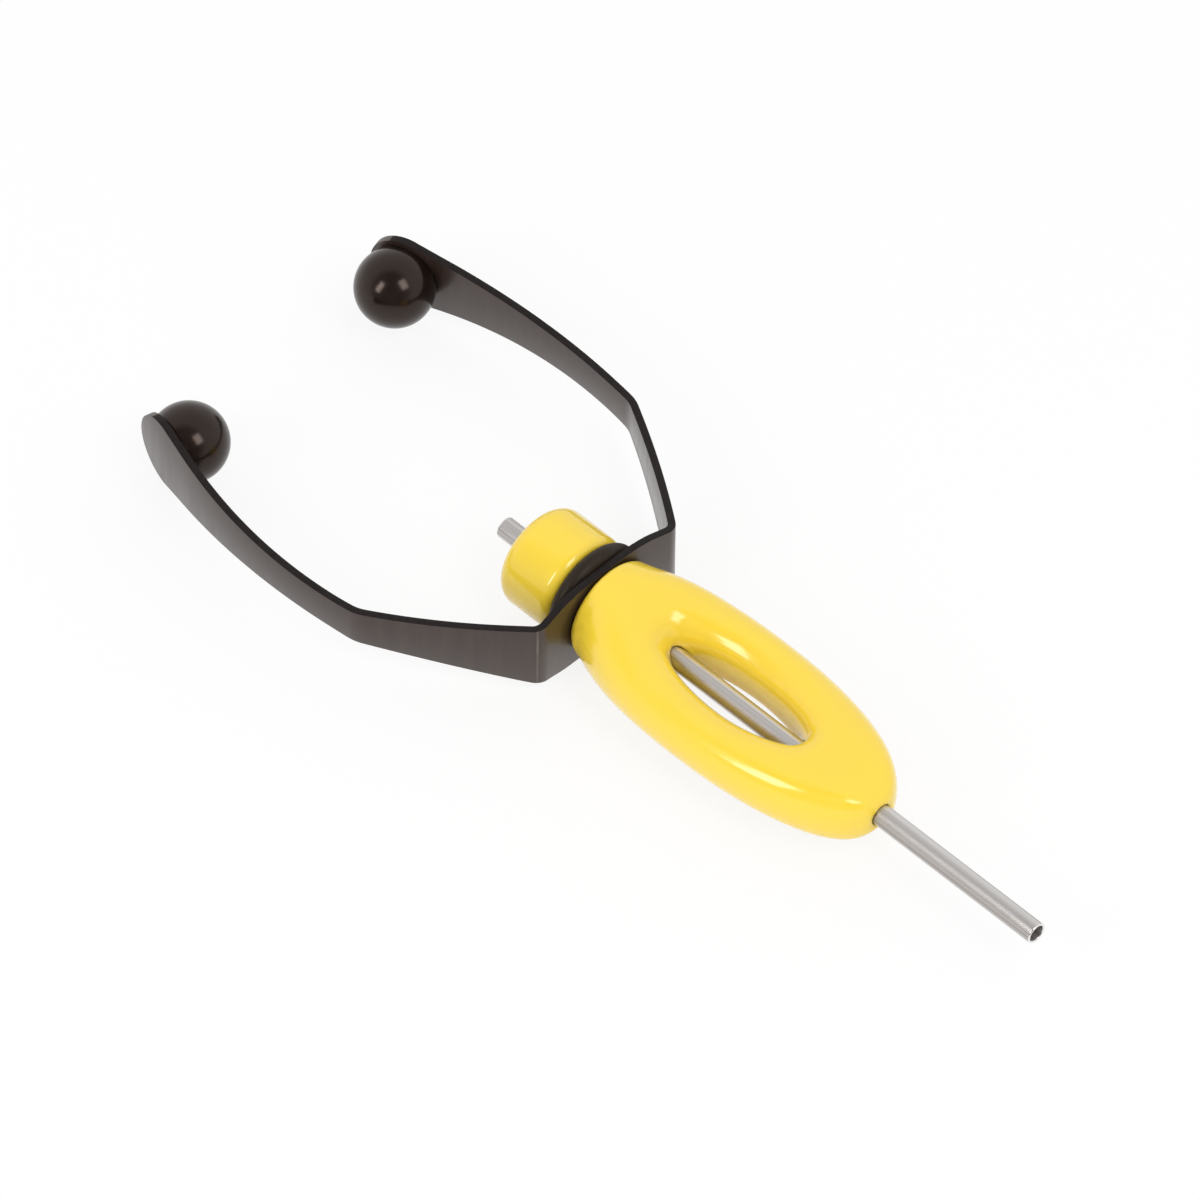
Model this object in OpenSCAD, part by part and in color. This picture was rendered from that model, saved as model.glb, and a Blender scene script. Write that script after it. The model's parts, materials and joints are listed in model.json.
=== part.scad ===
// Bobbin holder for fly tying. A steel thread tube runs through an oval grip with a
// lens-shaped window. Behind the grip, a tension knob clamps a sprung fork, and the fork's
// two ball beads pinch a spool of tying thread between them.
// +X runs along the tube to its tip, +Y is the left arm's side and +Z is square to the
// fork's plane. The origin is on the tube's axis, level with the fork's two front corners.

/* [Thread tube] */
// Outside diameter of the tube
tube_od = 2.6; // [2.2:0.1:3]
// Wall of the tube
tube_wall = 0.3; // [0.2:0.05:0.45]
// Length of tube that stands out of the nose
tube_front = 23.8; // [10:0.2:40]
// Length of tube that stands out behind the knob
tube_tail = 4.6; // [2:0.2:9]
// Play round the tube where it passes the grip and the knob
tube_play = 0.2; // [0.1:0.05:0.3]

/* [Grip] */
// Length of the grip, from its rear face to its nose
grip_len = 43.4; // [40:0.2:50]
// Greatest width of the grip
grip_w = 19.1; // [18:0.1:23]
// Thickness of the grip's rails
grip_t = 8.4; // [7:0.1:10]
// Distance from the rear face to the widest place
grip_widest = 19.7; // [17:0.1:22]
// Diameter of the grip's rear collar
collar_d = 12.7; // [12:0.1:14]
// Rounding of the collar's rear rim
collar_rim = 0.9; // [0.4:0.1:1.2]
// Length of the window at its waist
window_len = 19.8; // [16:0.1:21]
// Width of the window at its waist
window_w = 7.2; // [5.6:0.1:8.4]
// Distance from the rear face to the window
window_back = 10.6; // [9.8:0.1:12]

/* [Fork] */
// Thickness of the spring strip
strip_t = 0.9; // [0.7:0.05:1.1]
// Spread of the fork at its front corners
fork_spread = 21.2; // [20:0.2:26]
// Rearward bow of the front plate
plate_bow = 0.5; // [0.3:0.05:0.8]
// Width of the front plate at its middle
plate_w = 11.6; // [10.8:0.1:13]
// Width of the strip at the front corners
corner_w = 8.7; // [7.6:0.1:10]
// Width of the strip at its waist
waist_w = 4.6; // [4:0.1:6]
// Bend radius of the front corners, on the middle of the strip
corner_r = 1.1; // [0.7:0.05:1.5]
// Lean of the arm away from the axis just behind the corner
arm_lean = 36.9; // [32:0.1:42]
// Length of the arm's first limb
limb_a_len = 19.6; // [17:0.1:24]
// Turn of the first limb over its length
limb_a_turn = 8; // [4:0.1:14]
// Turn of the elbow between the limbs
elbow_turn = 20.8; // [14:0.1:24]
// Bend radius of the elbow
elbow_r = 5; // [3:0.5:9]
// Length of the second limb, from the elbow to the bead
limb_b_len = 32.8; // [28:0.2:38]
// Inward turn of the second limb, up to its flat end
limb_b_turn = 22.7; // [17:0.1:26.6]
// Diameter of the arm's round end
end_d = 9.5; // [8:0.1:11]
// Distance from the front corner to the line where the arm flexes
flex_back = 2.4; // [2:0.1:4]
// Play of the flexing line's seat
flex_play = 0.05; // [0.03:0.01:0.1]

/* [Beads] */
// Diameter of the ball bead
bead_d = 9.5; // [8:0.1:11]
// Distance from the ball's centre to the strip
bead_stand = 2.6; // [2:0.1:3.4]
// Diameter of the stud that carries the bead
stud_d = 2; // [1.4:0.1:3]
// Depth of the stud in the bead
stud_in = 3.4; // [2.4:0.1:4.4]
// Depth of the stud's seat in the strip
stud_seat = 0.5; // [0.3:0.05:0.6]

/* [Tension knob] */
// Diameter of the knob
knob_d = 12.7; // [12:0.1:14]
// Length of the knob
knob_len = 8.4; // [8:0.2:10]
// Rounding of the knob's rear rim
knob_rim = 2; // [1:0.1:2.6]
// Rounding of the knob's front edge
knob_edge = 0.4; // [0.2:0.05:0.6]
// Diameter of the rubber washer
washer_d = 13.5; // [12.6:0.1:15]
// Thickness of the rubber washer
washer_t = 2.1; // [1.6:0.1:2.6]
// Diameter of the hollow screw that the knob runs on
screw_d = 6; // [5.4:0.1:6.4]
// Running play between the screw and what turns or slides on it
screw_play = 0.06; // [0.03:0.01:0.1]
// Diameter of the brass insert in the knob
insert_d = 9; // [8.4:0.1:9.4]
// Length of the brass insert
insert_len = 4.6; // [4:0.1:5]
// Diameter of the screw's root inside the grip
root_d = 8; // [7.4:0.1:8.6]
// Length of the screw's root inside the grip
root_len = 6; // [5:0.2:7]
// Rearward travel of the knob from clamped to loose
knob_travel = 0.8; // [0.4:0.1:1]
// Thickness of the stop ring that keeps the knob on the screw
ring_t = 0.6; // [0.4:0.05:0.7]
// Diameter of the stop ring
ring_d = 7.8; // [7.2:0.1:8]

/* [Hidden] */

// Play between flat faces that are pressed together when the knob is tight
seat_play = 0.08;
// Overrun of every cut, and overlap of pieces of one strip
cut = 1;
join = 0.03;
// How much thinner, on each face, a piece of strip is where it slips into its neighbour
slip = 0.005;
// Facets of small rounds, and of the strip's wide bends
fine = 64;
wide = 360;

// Places along the axis, worked out from the fork's front plate towards the rear
plate_r = (pow(fork_spread / 2, 2) + pow(plate_bow, 2)) / (2 * plate_bow);
plate_sweep = asin(fork_spread / 2 / plate_r);
function plate_x(y) = plate_r - plate_bow - sqrt(pow(plate_r, 2) - pow(y, 2));
washer_front_x = -plate_bow - strip_t / 2 - seat_play;
knob_front_x = washer_front_x - washer_t - seat_play;
knob_rear_x = knob_front_x - knob_len;
insert_rear_x = knob_front_x - insert_len;
ring_front_x = insert_rear_x - knob_travel - seat_play;
screw_rear_x = ring_front_x - ring_t - ring_t / 2;
knob_hollow_x = screw_rear_x - ring_t / 2;
tube_rear_x = knob_rear_x - tube_tail;

// Places along the axis, worked out from the front plate towards the nose
collar_face_r = collar_d / 2 - collar_rim;
grip_rear_x = plate_x(collar_face_r) + strip_t / 2 + seat_play;
grip_nose_x = grip_rear_x + grip_len;
window_rear_x = grip_rear_x + window_back;
window_mid_x = window_rear_x + window_len / 2;
window_front_x = window_rear_x + window_len;
tube_tip_x = grip_nose_x + tube_front;

// ---- the fork's centreline: each bend is an arc, [start point, start lean, radius, turn]
// A lean is the angle between the way along the strip and -X, positive outwards.
function step_in(p, lean, r) = [p.x - r * sin(lean), p.y - r * cos(lean)];
function arc_at(centre, lean, r) = [centre.x + r * sin(lean), centre.y + r * cos(lean)];
corner_tangent = corner_r * tan((90 + plate_sweep - arm_lean) / 2);
plate_half_sweep = plate_sweep * (1 - 2 * corner_tangent / fork_spread);
plate_end_lean = 90 + plate_half_sweep;
plate_end = [
    plate_r - plate_bow - plate_r * cos(plate_half_sweep),
    plate_r * sin(plate_half_sweep)
];
corner_c = step_in(plate_end, plate_end_lean, corner_r);
limb_a_p = arc_at(corner_c, arm_lean, corner_r);
limb_a_r = limb_a_len / limb_a_turn * 180 / PI;
limb_a_c = step_in(limb_a_p, arm_lean, limb_a_r);
elbow_lean = arm_lean - limb_a_turn;
elbow_p = arc_at(limb_a_c, elbow_lean, limb_a_r);
elbow_c = step_in(elbow_p, elbow_lean, elbow_r);
limb_b_lean = elbow_lean - elbow_turn;
limb_b_p = arc_at(elbow_c, limb_b_lean, elbow_r);
limb_b_r = (limb_b_len - end_d / 2) / limb_b_turn * 180 / PI;
limb_b_c = step_in(limb_b_p, limb_b_lean, limb_b_r);
bead_lean = limb_b_lean - limb_b_turn;
flat_p = arc_at(limb_b_c, bead_lean, limb_b_r);
bead_p = flat_p + end_d / 2 * [-cos(bead_lean), sin(bead_lean)];
bead_c = step_in(bead_p, bead_lean, strip_t / 2 + bead_stand);
flex_lean = arm_lean - limb_a_turn * flex_back / limb_a_len;
flex_p = arc_at(limb_a_c, flex_lean, limb_a_r);

// Half width of the strip along the arm, from the corner over the waist to the round end
waist_share = 0.42;
neck_share = 0.985;
front_flare_share = 1.7;
rear_flare_share = 2.1;
plate_oval_share = 3.4;
waist_x = bead_p.x * waist_share;
neck_w = end_d * neck_share;
function arm_half_w(x) =
    x >= waist_x
        ? waist_w / 2 + (corner_w - waist_w) / 2 * pow(1 - min(x / waist_x, 1), front_flare_share)
        : waist_w / 2 + (neck_w - waist_w) / 2 * pow((x - waist_x) / (bead_p.x - waist_x), rear_flare_share);
function plate_half_w(y) =
    corner_w / 2 + (plate_w - corner_w) / 2 * (1 - pow(min(abs(y) / plate_end.y, 1), plate_oval_share));

// ---- the grip's skin: a net of points round the window, across each rail and back under it
// Half width of the grip along the axis: the collar flares to the widest place, then the nose
// closes as a superellipse
collar_r = collar_d / 2;
widest_x = grip_rear_x + grip_widest;
collar_end_x = grip_rear_x + collar_rim;
front_square_share = 2.18;
flare_share = 2.62;
function to_nose(x) = min(max((x - widest_x) / (grip_nose_x - widest_x), 0), 1);
function flare(x) =
    1 - pow(1 - min(max((x - collar_end_x) / (widest_x - collar_end_x), 0), 1), flare_share);
function grip_half_w(x) =
    x < widest_x
        ? collar_r + (grip_w / 2 - collar_r) * flare(x)
        : grip_w / 2 * pow(1 - pow(to_nose(x), front_square_share), 1 / front_square_share);

// Half thickness along the axis: the collar's radius sinks to the rails, the nose rounds off
function ease(v) = v <= 0 ? 0 : v >= 1 ? 1 : v * v * (3 - 2 * v);
function sink(x) = ease((x - collar_end_x) / (window_back + collar_rim));
nose_blunt_share = 10.2;
nose_round_share = 2.46;
function grip_half_t(x) =
    (collar_r + (grip_t / 2 - collar_r) * sink(x))
        * pow(1 - pow(to_nose(x), nose_blunt_share), 1 / nose_round_share);

// Height of the outer form over a place in the plan: a round collar, then full round edges
edge_square_share = 5.8;
function form_z(x, y) =
    grip_half_t(x) * sqrt(1 - pow(min(abs(y) / max(grip_half_w(x), tube_wall), 1), 2 + (edge_square_share - 2) * sink(x)));

// Window waist and the grip's outline in the plan, at an angle round the window
skin_rear_x = grip_rear_x - collar_rim - cut;
rear_turn = 150;
function power(v, share) = sign(v) * pow(abs(v), 2 / share);
window_point_share = 2.12;
function window_edge(a) = [
    window_mid_x + window_len / 2 * power(cos(a), window_point_share),
    window_w / 2 * power(sin(a), window_point_share)
];
function side_x(a) =
    a < 90
        ? widest_x + (grip_nose_x - widest_x) * power(cos(a), front_square_share)
        : widest_x - (widest_x - skin_rear_x) * min((a - 90) / (rear_turn - 90), 1);
function side_y(a) = grip_half_w(side_x(a)) * min(1, (180 - a) / (180 - rear_turn));
function grip_edge(a) = a <= 180 ? [side_x(a), side_y(a)] : [side_x(360 - a), -side_y(360 - a)];

// Width of the window's flared lip as a share of the way to the outline, and its rise
lip_side = 4.15;
lip_end = 3.62;
lip_rise_share = 0.42;
function lip_share(a, reach) = (lip_end + (lip_side - lip_end) * abs(sin(a))) / reach;
function lip_rise(q) = q >= 1 ? 1 : pow(1 - pow(1 - q, 2), lip_rise_share);

ring_steps = 72;
section_steps = 32;
function grip_point(i, j) =
    let (a = 360 * i / ring_steps, b = 360 * j / section_steps)
    let (inner = window_edge(a), outer = grip_edge(a))
    let (out_share = (1 + cos(b)) / 2)
    let (flat = inner + (outer - inner) * out_share)
    let (rise = lip_rise(out_share / lip_share(a, norm(outer - inner))))
    [flat.x, flat.y, j % (section_steps / 2) == 0 ? 0 : sign(sin(b)) * rise * form_z(flat.x, flat.y)];
function ring_index(i, j) = (i % ring_steps) * section_steps + j % section_steps;

module grip_skin() {
    points = [for (i = [0:ring_steps - 1]) for (j = [0:section_steps - 1]) grip_point(i, j)];
    faces = [
        for (i = [0:ring_steps - 1]) for (j = [0:section_steps - 1]) each [
            [ring_index(i, j), ring_index(i, j + 1), ring_index(i + 1, j)],
            [ring_index(i + 1, j), ring_index(i, j + 1), ring_index(i + 1, j + 1)]
        ]
    ];
    polyhedron(points = points, faces = faces);
}

// A solid turned about the tube's axis, from a profile drawn as [x, radius]
module turned_x() {
    rotate([90, 0, 90]) rotate_extrude($fn = fine) rotate(90) mirror([0, 1]) children();
}

// A round hole or rod along the tube's axis, from one place to another
module rod_x(from, to, r) {
    translate([min(from, to), 0, 0]) rotate([0, 90, 0]) cylinder(r = r, h = abs(to - from), $fn = fine);
}

// What the rear rim's rounding takes off the skin, with the flat rear face
rim_meet = 12;
module rear_trim() {
    rim_c_r = collar_r - collar_rim * cos(rim_meet);
    rod_x(skin_rear_x - cut, grip_rear_x, collar_d);
    turned_x() difference() {
        translate([grip_rear_x - cut, rim_c_r]) square([collar_rim + cut, collar_d]);
        translate([grip_rear_x + collar_rim, rim_c_r]) circle(r = collar_rim, $fn = fine);
    }
}

module grip() {
    color("gold") difference() {
        grip_skin();
        rear_trim();
        rod_x(grip_rear_x - cut, grip_rear_x + root_len, root_d / 2);
        rod_x(grip_rear_x - cut, grip_nose_x + cut, tube_od / 2 + tube_play);
    }
}

module thread_tube() {
    lip = tube_wall / 2;
    color("lightsteelblue") turned_x() {
        translate([tube_rear_x + lip, tube_od / 2 - tube_wall])
            square([tube_tip_x - tube_rear_x - tube_wall, tube_wall]);
        translate([tube_rear_x + lip, tube_od / 2 - lip]) circle(r = lip, $fn = fine);
        translate([tube_tip_x - lip, tube_od / 2 - lip]) circle(r = lip, $fn = fine);
    }
}

module hollow_screw() {
    color("silver") difference() {
        union() {
            rod_x(grip_rear_x, grip_rear_x + root_len, root_d / 2);
            rod_x(screw_rear_x, grip_rear_x, screw_d / 2);
        }
        rod_x(screw_rear_x - cut, grip_rear_x + root_len + cut, tube_od / 2);
        difference() {
            rod_x(ring_front_x - ring_t, ring_front_x, screw_d / 2 + cut);
            rod_x(ring_front_x - ring_t, ring_front_x, screw_d / 2 - ring_t / 2);
        }
    }
}

module stop_ring() {
    color("dimgray") difference() {
        rod_x(ring_front_x - ring_t, ring_front_x, ring_d / 2);
        rod_x(ring_front_x - ring_t - cut, ring_front_x + cut, screw_d / 2 - ring_t / 2);
    }
}

// One bend of the strip: an upright band of the strip's thickness along an arc. It runs a
// hair past both ends, so that neighbours join; every second one is thinner by the slip.
module strip_bend(centre, r, from_lean, to_lean, t = strip_t) {
    past = join / r * 180 / PI;
    translate([centre.x, centre.y, -plate_w])
        rotate(90 - from_lean - past)
            rotate_extrude(angle = from_lean - to_lean + 2 * past, $fn = wide)
                translate([r - t / 2, 0]) square([t, 2 * plate_w]);
}

// The arm's outline seen from its side, with the round end about the bead's stud
module arm_outline() {
    steps = 36;
    xs = [for (i = [0:steps]) bead_p.x * i / steps];
    rotate([90, 0, 0]) linear_extrude(height = 4 * fork_spread, center = true)
        polygon(concat(
            [[strip_t + cut, arm_half_w(0)]],
            [for (x = xs) [x, arm_half_w(x)]],
            [for (i = [steps:-1:0]) [xs[i], -arm_half_w(xs[i])]],
            [[strip_t + cut, -arm_half_w(0)]]
        ));
    bead_axis() translate([0, 0, -bead_d]) cylinder(d = end_d, h = 2 * bead_d, $fn = fine);
}

// Turns +Z onto the bead's axis, outwards, with the origin on the middle of the strip
module bead_axis() {
    translate([bead_p.x, bead_p.y, 0]) rotate([-90, 0, -bead_lean]) children();
}

module flex_round(r) {
    translate([flex_p.x, flex_p.y, -corner_w / 2]) cylinder(r = r, h = corner_w, $fn = fine);
}

// One arm, on the left: both limbs, the elbow and the round end
module fork_arm() {
    difference() {
        intersection() {
            union() {
                flex_round(strip_t / 2 - slip);
                strip_bend(limb_a_c, limb_a_r, flex_lean, elbow_lean);
                strip_bend(elbow_c, elbow_r, elbow_lean, limb_b_lean, strip_t - 2 * slip);
                strip_bend(limb_b_c, limb_b_r, limb_b_lean, bead_lean);
                bead_axis() translate([-end_d, -end_d, slip - strip_t / 2])
                    cube([1.5 * end_d + join, 2 * end_d, strip_t - 2 * slip]);
            }
            arm_outline();
        }
        bead_stud();
    }
}

// The corner bend and the stub of the arm in front of the flexing line, on the left
module plate_corner() {
    intersection() {
        difference() {
            union() {
                strip_bend(corner_c, corner_r, plate_end_lean, arm_lean, strip_t - 2 * slip);
                strip_bend(limb_a_c, limb_a_r, arm_lean, flex_lean);
            }
            flex_round(strip_t / 2 + flex_play);
        }
        arm_outline();
    }
}

// The bowed front plate, an oval with its ends at the corner bends
module front_plate() {
    steps = 24;
    ys = [for (i = [-steps:steps]) plate_end.y * i / steps];
    intersection() {
        translate([plate_r - plate_bow, 0, -plate_w / 2]) rotate(180 - plate_half_sweep)
            rotate_extrude(angle = 2 * plate_half_sweep, $fn = wide)
                translate([plate_r - strip_t / 2, 0]) square([strip_t, plate_w]);
        rotate([90, 0, 90]) linear_extrude(height = 4 * plate_w, center = true)
            polygon(concat(
                [for (y = ys) [y, plate_half_w(y)]],
                [for (i = [2 * steps:-1:0]) [ys[i], -plate_half_w(ys[i])]]
            ));
    }
}

module fork_plate() {
    color("dimgray") difference() {
        union() {
            front_plate();
            plate_corner();
            mirror([0, 1, 0]) plate_corner();
        }
        rod_x(-plate_bow - strip_t - cut, strip_t + cut, screw_d / 2 + screw_play);
    }
}

module fork_arm_left() { color("dimgray") fork_arm(); }
module fork_arm_right() { color("dimgray") mirror([0, 1, 0]) fork_arm(); }

// A stud on the strip's inner face, pointing at the bead's centre
module bead_stud() {
    bead_axis() translate([0, 0, -strip_t / 2 - stud_in])
        cylinder(d = stud_d, h = stud_in + stud_seat, $fn = fine);
}

// A ball, cut flat to lie on the strip's inner face, with a blind hole for the stud
module bead() {
    bead_axis() rotate_extrude($fn = fine) difference() {
        translate([0, -strip_t / 2 - bead_stand]) circle(d = bead_d, $fn = fine);
        translate([-bead_d, -strip_t / 2]) square(2 * bead_d);
        translate([-bead_d, -2 * bead_d]) square([bead_d, 3 * bead_d]);
        translate([-cut, -strip_t / 2 - stud_in]) square([cut + stud_d / 2, stud_in + cut]);
    }
}

module bead_left() { color("#2b2624") bead(); }
module bead_right() { color("#2b2624") mirror([0, 1, 0]) bead(); }
module bead_stud_left() { color("silver") bead_stud(); }
module bead_stud_right() { color("silver") mirror([0, 1, 0]) bead_stud(); }

// A washer with a fully rounded rim
module rubber_washer() {
    rear_x = washer_front_x - washer_t;
    bore_r = screw_d / 2 + screw_play;
    color("#1d1b1a") turned_x() {
        translate([rear_x, bore_r]) square([washer_t, washer_d / 2 - washer_t / 2 - bore_r]);
        translate([rear_x + washer_t / 2, washer_d / 2 - washer_t / 2]) circle(d = washer_t, $fn = fine);
    }
}

// The knob: a shell with a rounded rear rim, hollow for the insert and the screw's end
module knob() {
    r = knob_d / 2;
    color("gold") difference() {
        turned_x() {
            translate([knob_rear_x, 0]) square([knob_len, r - knob_rim]);
            translate([knob_rear_x + knob_rim, 0]) square([knob_len - knob_rim - knob_edge, r]);
            translate([knob_rear_x + knob_rim, r - knob_rim]) circle(r = knob_rim, $fn = fine);
            translate([knob_front_x - knob_edge, r - knob_edge]) circle(r = knob_edge, $fn = fine);
            translate([knob_front_x - knob_edge, 0]) square([knob_edge, r - knob_edge]);
        }
        rod_x(insert_rear_x, knob_front_x + cut, insert_d / 2);
        rod_x(knob_hollow_x, knob_front_x, insert_d / 2 - tube_wall);
        rod_x(knob_rear_x - cut, knob_front_x, tube_od / 2 + tube_play);
    }
}

module knob_insert() {
    color("#b5944a") difference() {
        rod_x(insert_rear_x, knob_front_x, insert_d / 2);
        rod_x(insert_rear_x - cut, knob_front_x + cut, screw_d / 2 + screw_play);
    }
}

grip();
thread_tube();
hollow_screw();
stop_ring();
fork_plate();
fork_arm_left();
fork_arm_right();
bead_left();
bead_right();
bead_stud_left();
bead_stud_right();
rubber_washer();
knob();
knob_insert();
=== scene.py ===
"""Dresses the bobbin holder: grip, thread tube, sprung fork, ball beads, washer and tension knob."""

import json
import logging
import math
from dataclasses import dataclass, field
from enum import Enum
from typing import Callable, Sequence

import bmesh
import bpy
from mathutils import Matrix, Vector

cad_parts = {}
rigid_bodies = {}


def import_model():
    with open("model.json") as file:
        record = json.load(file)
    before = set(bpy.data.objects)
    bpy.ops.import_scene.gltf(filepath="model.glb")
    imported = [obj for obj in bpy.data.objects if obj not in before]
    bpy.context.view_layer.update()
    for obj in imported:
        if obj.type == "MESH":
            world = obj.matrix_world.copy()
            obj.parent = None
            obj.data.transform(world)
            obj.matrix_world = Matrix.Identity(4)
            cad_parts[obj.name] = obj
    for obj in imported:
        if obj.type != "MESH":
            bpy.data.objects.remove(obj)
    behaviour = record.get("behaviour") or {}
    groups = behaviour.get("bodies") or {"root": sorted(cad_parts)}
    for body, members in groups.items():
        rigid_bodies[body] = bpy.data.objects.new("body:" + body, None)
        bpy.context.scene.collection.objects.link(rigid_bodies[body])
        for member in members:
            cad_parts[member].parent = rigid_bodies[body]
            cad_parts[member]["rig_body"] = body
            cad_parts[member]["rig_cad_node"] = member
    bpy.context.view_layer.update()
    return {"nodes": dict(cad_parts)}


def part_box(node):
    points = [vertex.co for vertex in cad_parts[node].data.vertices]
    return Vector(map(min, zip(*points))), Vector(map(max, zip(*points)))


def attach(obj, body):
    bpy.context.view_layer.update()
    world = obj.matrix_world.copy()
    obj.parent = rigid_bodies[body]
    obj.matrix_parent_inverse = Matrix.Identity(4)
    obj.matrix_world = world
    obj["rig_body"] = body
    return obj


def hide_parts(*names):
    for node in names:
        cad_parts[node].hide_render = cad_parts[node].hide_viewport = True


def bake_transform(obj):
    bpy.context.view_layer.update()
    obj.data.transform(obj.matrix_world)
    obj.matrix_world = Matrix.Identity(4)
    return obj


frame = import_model()

# Sizes in the classes are in millimetres, and MM makes them metres
MM = 0.001
TINY = 1e-6
SPIN_WELD = 0.002 * MM
# The grain's noise: its roughness, the tones that are spread out to black and white, its depth
GRAIN_ROUGHNESS = 0.6
GRAIN_LOW, GRAIN_HIGH = 0.3, 0.7
GRAIN_DEPTH = 0.05 * MM
LOG = logging.getLogger("bobbin_holder")

Point = tuple[float, float]
Colour = tuple[float, float, float]


class Side(Enum):
    """Which half of the fork a piece belongs to."""

    LEFT = 1
    RIGHT = -1

    @property
    def word(self) -> str:
        """The side's name as the nodes and bodies spell it."""
        return self.name.lower()


class Grain(Enum):
    """How fine lines lie on a surface: the stretch of the pattern along X, Y and Z."""

    EVEN = (1.0, 1.0, 1.0)
    LENGTHWISE = (0.004, 1.0, 1.0)
    UPRIGHT = (1.0, 1.0, 0.12)


# Bench work


def clear_selection() -> None:
    """Leaves edit mode and selects nothing."""
    if bpy.context.object is not None and bpy.context.object.mode != "OBJECT":
        bpy.ops.object.mode_set(mode="OBJECT")
    bpy.ops.object.select_all(action="DESELECT")


def take(piece: bpy.types.Object) -> None:
    """Makes a piece the only one selected, and the active one.

    Args:
        piece: the object to work on.
    """
    clear_selection()
    piece.select_set(True)
    bpy.context.view_layer.objects.active = piece


def open_mesh(piece: bpy.types.Object, mode: str = "VERT") -> None:
    """Opens a piece in edit mode with nothing selected.

    Args:
        piece: the object to edit.
        mode: VERT, EDGE or FACE.
    """
    take(piece)
    bpy.ops.object.mode_set(mode="EDIT")
    bpy.ops.mesh.select_mode(type=mode)
    bpy.ops.mesh.select_all(action="DESELECT")


def close_mesh() -> None:
    """Goes back to object mode."""
    bpy.ops.object.mode_set(mode="OBJECT")


def pick_faces(piece: bpy.types.Object, wanted: Callable[[Vector, Vector], bool]) -> None:
    """Selects faces of the piece in edit mode by their middle and normal.

    Args:
        piece: the object that is open in edit mode.
        wanted: says yes to a face's middle and normal.
    """
    mesh = bmesh.from_edit_mesh(piece.data)
    for face in mesh.faces:
        if wanted(face.calc_center_median(), face.normal):
            face.select_set(True)
    bmesh.update_edit_mesh(piece.data)


def finish_piece(
    piece: bpy.types.Object, body: str, nodes: Sequence[str], smooth_deg: float = 40.0
) -> bpy.types.Object:
    """Shades a piece smooth and hands it to the frame.

    Args:
        piece: the finished object, its place in its mesh.
        body: the CAD body that it rides on.
        nodes: the CAD nodes that it stands for.
        smooth_deg: edges sharper than this stay sharp.

    Returns:
        The same object.
    """
    take(piece)
    bpy.ops.object.transform_apply(location=True, rotation=True, scale=True)
    bpy.ops.object.shade_smooth_by_angle(angle=math.radians(smooth_deg))
    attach(piece, body)
    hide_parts(*nodes)
    LOG.info("%s: %d faces, rides on %s", piece.name, len(piece.data.polygons), body)
    return piece


def add_modifier(piece: bpy.types.Object, kind: str, **settings: object) -> None:
    """Adds a modifier, sets it and applies it.

    Args:
        piece: the object to change.
        kind: Blender's name of the modifier.
        **settings: the modifier's own values.
    """
    take(piece)
    modifier = piece.modifiers.new(kind.title(), kind)
    for name, value in settings.items():
        setattr(modifier, name, value)
    bpy.ops.object.modifier_apply(modifier=modifier.name)


def draw_line(name: str, points: Sequence[Vector]) -> bpy.types.Object:
    """Draws an open line of edges: one point is set down, then pulled out step by step.

    Args:
        name: the new object's name.
        points: where the line goes, in metres.

    Returns:
        The object that holds the line.
    """
    clear_selection()
    bpy.ops.mesh.primitive_plane_add(size=MM, location=points[0])
    piece = bpy.context.object
    piece.name = piece.data.name = name
    bpy.ops.object.transform_apply(location=True)
    bpy.ops.object.mode_set(mode="EDIT")
    bpy.ops.mesh.select_mode(type="VERT")
    bpy.ops.mesh.select_all(action="SELECT")
    bpy.ops.mesh.merge(type="CENTER")
    for start, end in zip(points, points[1:]):
        bpy.ops.mesh.extrude_region_move(TRANSFORM_OT_translate={"value": end - start})
    close_mesh()
    return piece


def spin_profile(
    name: str, profile: Sequence[Point], origin: Vector, axis: Vector, steps: int, closed: bool = True
) -> bpy.types.Object:
    """Turns a profile about an axis that lies flat, as on a lathe.

    Args:
        name: the new object's name.
        profile: (place along the axis, radius) of each point, in metres.
        origin: where the axis's zero is.
        axis: the axis's direction.
        steps: how many steps a full turn has.
        closed: whether the profile's last point joins its first.

    Returns:
        The turned object, its normals pointing outwards.
    """
    along = axis.normalized()
    across = along.cross(Vector((0, 0, 1))).normalized()
    points = [origin + along * place + across * radius for place, radius in profile]
    piece = draw_line(name, points + points[:1] if closed else points)
    open_mesh(piece)
    bpy.ops.mesh.select_all(action="SELECT")
    bpy.ops.mesh.spin(steps=steps, angle=math.tau, center=origin, axis=along, use_auto_merge=True)
    bpy.ops.mesh.select_all(action="SELECT")
    bpy.ops.mesh.remove_doubles(threshold=SPIN_WELD)
    bpy.ops.mesh.normals_make_consistent(inside=False)
    close_mesh()
    return piece


def arc(centre: Point, radius: float, start_deg: float, end_deg: float, steps: int) -> list[Point]:
    """Points on an arc of a profile.

    Args:
        centre: the arc's centre.
        radius: its radius.
        start_deg: the angle of its first point.
        end_deg: the angle of its last point.
        steps: how many steps it has.

    Returns:
        The points, ends included.
    """
    angles = [math.radians(start_deg + (end_deg - start_deg) * i / steps) for i in range(steps + 1)]
    return [(centre[0] + radius * math.cos(a), centre[1] + radius * math.sin(a)) for a in angles]


def ramp(value: float, none_at: float, full_at: float) -> float:
    """How far a value has come from one mark to another, as a share.

    Args:
        value: the value.
        none_at: the mark where the share is 0.
        full_at: the mark where the share is 1.

    Returns:
        The share, from 0 to 1.
    """
    return min(max((value - none_at) / (full_at - none_at), 0.0), 1.0)


# Materials


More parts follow.
